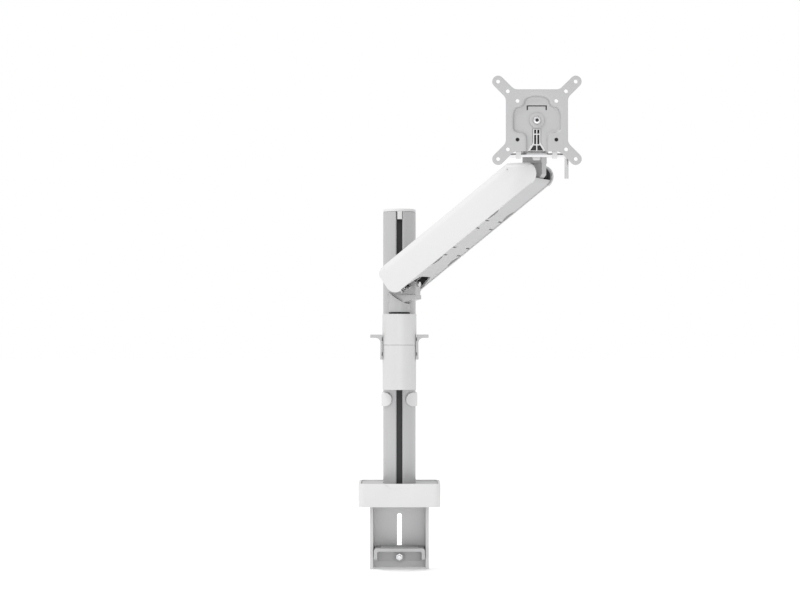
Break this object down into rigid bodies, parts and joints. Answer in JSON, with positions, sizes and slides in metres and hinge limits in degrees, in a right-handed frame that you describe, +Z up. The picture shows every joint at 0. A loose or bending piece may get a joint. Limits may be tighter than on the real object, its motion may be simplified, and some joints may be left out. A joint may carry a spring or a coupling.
{
  "type": "monitor arm",
  "caption": "Spring monitor arm on a slotted pole with a desk-edge clamp, height carriage, levelling head and square screen plate with a stored hex key.",
  "frame": {"origin": "under the pole axis, on the face that rests on the desk", "axes": "+Z up the pole, -Y towards the user, +X to the user's right; the desk reaches from the clamp towards -Y"},
  "size_m": [0.2908, 0.2369, 0.6566],
  "materials": {
    "white_shell": "smooth satin white moulding",
    "silver_metal": "fine silver-grey powder coat",
    "grey_plastic": "fine-grained grey plastic",
    "bright_steel": "turned steel",
    "dark_plastic": "matt black plastic",
    "rubber": "matt rubber"
  },
  "bodies": {
    "base": {"base_pad": "rubber", "base_plate": "bright_steel", "base_top": "silver_metal", "base_cover": "white_shell", "pole": "silver_metal", "slot_strip": "dark_plastic", "pole_foot": "bright_steel", "pole_bolt": "bright_steel", "pole_cap": "white_shell", "clamp_bracket": "silver_metal", "bracket_screw_left": "bright_steel", "bracket_screw_right": "bright_steel"},
    "jaw": {"clamp_jaw": "silver_metal", "jaw_pad": "rubber", "jaw_washer": "bright_steel", "jaw_bolt": "bright_steel"},
    "clip": {"cable_clip": "white_shell"},
    "carriage": {"carriage_upper": "silver_metal", "carriage_lower": "silver_metal", "slide_block": "dark_plastic", "slide_screw_lower": "bright_steel", "slide_screw_upper": "bright_steel", "swivel_shaft": "bright_steel", "bearing_washer": "rubber"},
    "tab_left": {"release_tab_left": "silver_metal"},
    "tab_right": {"release_tab_right": "silver_metal"},
    "knuckle": {"arm_base": "silver_metal", "spring_pin": "bright_steel", "tension_screw": "bright_steel", "link_lug": "bright_steel", "link_pin_lower": "bright_steel"},
    "arm": {"arm_shell": "white_shell", "arm_frame": "grey_plastic", "arm_underside": "grey_plastic", "lift_pin": "bright_steel", "tip_pin": "bright_steel", "gas_cylinder": "dark_plastic"},
    "rod": {"gas_rod": "bright_steel"},
    "link": {"level_link": "bright_steel"},
    "tip": {"arm_tip": "silver_metal", "tip_lug": "bright_steel", "link_pin_upper": "bright_steel", "pan_post": "bright_steel"},
    "yoke": {"pan_washer": "rubber", "tilt_yoke": "silver_metal", "tilt_bolt": "bright_steel", "tilt_nut": "bright_steel"},
    "tilter": {"tilt_barrel": "dark_plastic"},
    "head": {"vesa_plate": "silver_metal", "plate_washer": "dark_plastic", "plate_screw": "bright_steel", "adapter": "dark_plastic", "key_clip_left": "white_shell", "key_clip_right": "white_shell"},
    "catch": {"release_latch": "white_shell"},
    "key": {"hex_key": "bright_steel"}
  },
  "joints": [
    {"name": "jaw_slide", "type": "slide", "parent": "base", "child": "jaw", "axis": [0, 0, 1], "range_m": [0, 0.05]},
    {"name": "clip_slide", "type": "slide", "parent": "base", "child": "clip", "axis": [0, 0, 1], "range_m": [-0.09, 0]},
    {"name": "height_slide", "type": "slide", "parent": "base", "child": "carriage", "axis": [0, 0, 1], "range_m": [-0.003, 0.136]},
    {"name": "tab_left_lift", "type": "slide", "parent": "carriage", "child": "tab_left", "axis": [0, 0, 1], "range_m": [0, 0.005], "stiffness_N_per_m": 400},
    {"name": "tab_right_lift", "type": "slide", "parent": "carriage", "child": "tab_right", "axis": [0, 0, 1], "range_m": [0, 0.005], "stiffness_N_per_m": 400},
    {"name": "arm_swing", "type": "hinge", "parent": "carriage", "child": "knuckle", "pos_m": [0, -0.06, 0.3], "axis": [0, 0, 1], "range_deg": [-175, 49]},
    {"name": "arm_lift", "type": "hinge", "parent": "knuckle", "child": "arm", "pos_m": [0.00445, -0.06227, 0.3125], "axis": [-0.454, -0.891, 0], "range_deg": [-45, 4]},
    {"name": "rod_slide", "type": "slide", "parent": "arm", "child": "rod", "axis": [0.7227, -0.3682, 0.585], "range_m": [-0.002, 0.0125]},
    {"name": "link_swing", "type": "hinge", "parent": "knuckle", "child": "link", "pos_m": [0.00445, -0.06227, 0.325], "axis": [-0.454, -0.891, 0], "range_deg": [-45, 4]},
    {"name": "tip_level", "type": "hinge", "parent": "arm", "child": "tip", "pos_m": [0.17638, -0.14987, 0.44242], "axis": [-0.454, -0.891, 0], "range_deg": [-4, 45]},
    {"name": "head_pan", "type": "hinge", "parent": "tip", "child": "yoke", "pos_m": [0.17638, -0.14987, 0.47], "axis": [0, 0, -1], "range_deg": [-90, 28]},
    {"name": "head_tilt", "type": "hinge", "parent": "yoke", "child": "tilter", "pos_m": [0.17638, -0.163, 0.51], "axis": [1, 0, 0], "range_deg": [-40, 8]},
    {"name": "screen_turn", "type": "hinge", "parent": "tilter", "child": "head", "pos_m": [0.17718, -0.19, 0.51], "axis": [0, -1, 0], "range_deg": [-90, 90]},
    {"name": "catch_pull", "type": "slide", "parent": "head", "child": "catch", "axis": [0, 0, -1], "range_m": [0, 0.002], "stiffness_N_per_m": 500},
    {"name": "key_slide", "type": "slide", "parent": "head", "child": "key", "axis": [1, 0, 0], "range_m": [0, 0.06]}
  ],
  "couplings": [
    {"joint": "rod_slide", "follows": "arm_lift", "m_per_rad": -0.0142},
    {"joint": "link_swing", "follows": "arm_lift", "ratio": 1},
    {"joint": "tip_level", "follows": "arm_lift", "ratio": -1}
  ]
}
